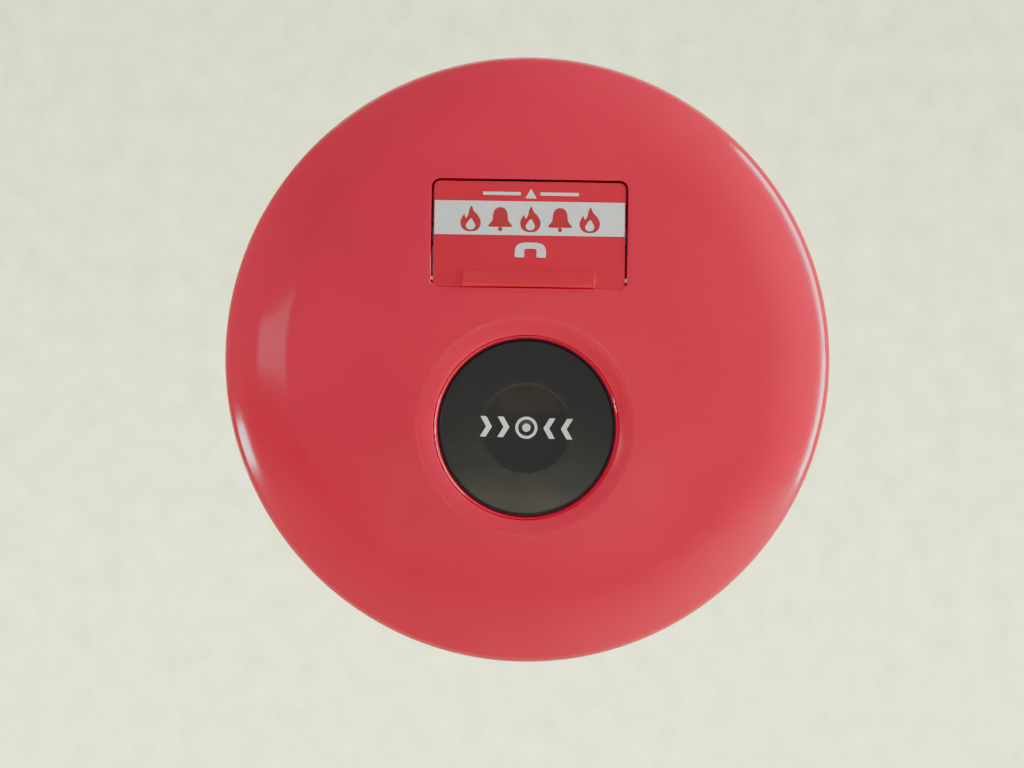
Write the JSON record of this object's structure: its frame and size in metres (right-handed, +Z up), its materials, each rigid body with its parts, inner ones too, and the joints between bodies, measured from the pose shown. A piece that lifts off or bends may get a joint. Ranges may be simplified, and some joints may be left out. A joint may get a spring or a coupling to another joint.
{
  "type": "manual fire alarm call point",
  "caption": "Round red wall-mounted fire alarm call point with a smoked push plate, a bottom-hinged jack door, a reset slide and a switch mechanism in a rear housing.",
  "frame": {"origin": "centre of the chassis plate's rear face, in the wall plane on the cover's axis", "axes": "+Z up, -Y out of the wall toward the viewer, +X to the right seen from the front"},
  "size_m": [0.15, 0.0543, 0.15],
  "materials": {
    "cover_red": "glossy moulded red plastic",
    "door_red": "glossy moulded red plastic",
    "smoked": "polished smoked plastic",
    "zinc_steel": "zinc plated sheet steel",
    "screw_steel": "zinc plated screw",
    "pin_steel": "ground steel pin",
    "spring_steel": "spring steel",
    "nickel": "satin nickel plate",
    "brass": "turned brass",
    "terminal_steel": "nickel plated screw",
    "black_plastic": "black moulded plastic",
    "ivory_plastic": "ivory moulded plastic",
    "knob_amber": "amber moulded plastic",
    "button_red": "red moulded plastic",
    "lamp_red": "clear red lens",
    "lead_red": "flexible insulation",
    "lead_yellow": "flexible insulation",
    "lead_blue": "flexible insulation"
  },
  "bodies": {
    "base": {"front_cover": "cover_red", "chassis_plate": "zinc_steel", "panel_posts": "brass", "cover_screws": "screw_steel", "panel_screws": "screw_steel", "door_hinge_pin": "pin_steel", "door_spring": "spring_steel", "door_spring_rivet": "screw_steel", "latch_pin": "pin_steel", "latch_spring": "spring_steel", "jack_panel": "nickel", "jack_body": "black_plastic", "jack_bushing": "nickel", "jack_nut": "nickel", "jack_washer": "nickel", "jack_springs": "brass", "reset_spring": "spring_steel", "slide_rivets": "screw_steel", "plunger_guide": "brass", "return_spring": "spring_steel", "pawl_pin": "pin_steel", "pawl_spring": "spring_steel", "mechanism_frame": "zinc_steel", "frame_screws": "screw_steel", "switch_body_left": "black_plastic", "switch_body_right": "black_plastic", "switch_pins": "brass", "switch_screws": "screw_steel", "lamp_holder": "ivory_plastic", "response_lamp": "lamp_red", "rear_housing": "black_plastic", "housing_screws": "screw_steel", "terminal_base": "black_plastic", "terminal_screws": "terminal_steel", "terminal_clamps": "brass", "lamp_leads": "lead_red", "switch_leads": "lead_yellow", "jack_leads": "lead_blue"},
    "door": {"jack_door": "door_red"},
    "latch": {"latch_hook": "ivory_plastic"},
    "push": {"push_plate": "smoked", "plunger": "pin_steel", "plunger_cam": "ivory_plastic", "plunger_clip": "spring_steel"},
    "reset": {"reset_slide": "zinc_steel", "reset_knob": "knob_amber"},
    "pawl": {"hold_pawl": "zinc_steel"},
    "lever_left": {"switch_lever_left": "spring_steel"},
    "lever_right": {"switch_lever_right": "spring_steel"},
    "button_left": {"switch_button_left": "button_red"},
    "button_right": {"switch_button_right": "button_red"}
  },
  "joints": [
    {"name": "door_hinge", "type": "hinge", "parent": "base", "child": "door", "pos_m": [0, -0.01578, 0.01962], "axis": [1, 0, 0], "range_deg": [0, 110], "stiffness_Nm_per_rad": 0.002, "springref_deg": 120.32},
    {"name": "latch_pivot", "type": "hinge", "parent": "base", "child": "latch", "pos_m": [0, -0.00853, 0.0419], "axis": [-1, 0, 0], "range_deg": [0, 12], "stiffness_Nm_per_rad": 0.02, "springref_deg": -5.73, "deforming": ["latch_spring"]},
    {"name": "push_slide", "type": "slide", "parent": "base", "child": "push", "axis": [0, 1, 0], "range_m": [0, 0.003], "stiffness_N_per_m": 3000, "springref_m": -0.002, "deforming": ["return_spring"]},
    {"name": "reset_pull", "type": "slide", "parent": "base", "child": "reset", "axis": [0, 0, -1], "range_m": [0, 0.003], "stiffness_N_per_m": 600, "springref_m": -0.002, "deforming": ["reset_spring"]},
    {"name": "pawl_pivot", "type": "hinge", "parent": "base", "child": "pawl", "pos_m": [0.008, 0.002, -0.025], "axis": [0, 1, 0], "range_deg": [0, 26]},
    {"name": "lever_left_pivot", "type": "hinge", "parent": "base", "child": "lever_left", "pos_m": [-0.0074, 0.0139, -0.022], "axis": [-1, 0, 0], "range_deg": [0, 16.5]},
    {"name": "lever_right_pivot", "type": "hinge", "parent": "base", "child": "lever_right", "pos_m": [0.0074, 0.0139, -0.022], "axis": [-1, 0, 0], "range_deg": [0, 16.5]},
    {"name": "button_left_slide", "type": "slide", "parent": "base", "child": "button_left", "axis": [0, 1, 0], "range_m": [0, 0.0009]},
    {"name": "button_right_slide", "type": "slide", "parent": "base", "child": "button_right", "axis": [0, 1, 0], "range_m": [0, 0.0009]}
  ],
  "couplings": [
    {"joint": "pawl_pivot", "follows": "reset_pull", "rad_per_m": 145.4},
    {"joint": "lever_left_pivot", "follows": "push_slide", "rad_per_m": 93.1},
    {"joint": "lever_right_pivot", "follows": "push_slide", "rad_per_m": 93.1},
    {"joint": "button_left_slide", "follows": "push_slide", "ratio": 0.2833},
    {"joint": "button_right_slide", "follows": "push_slide", "ratio": 0.2833}
  ]
}
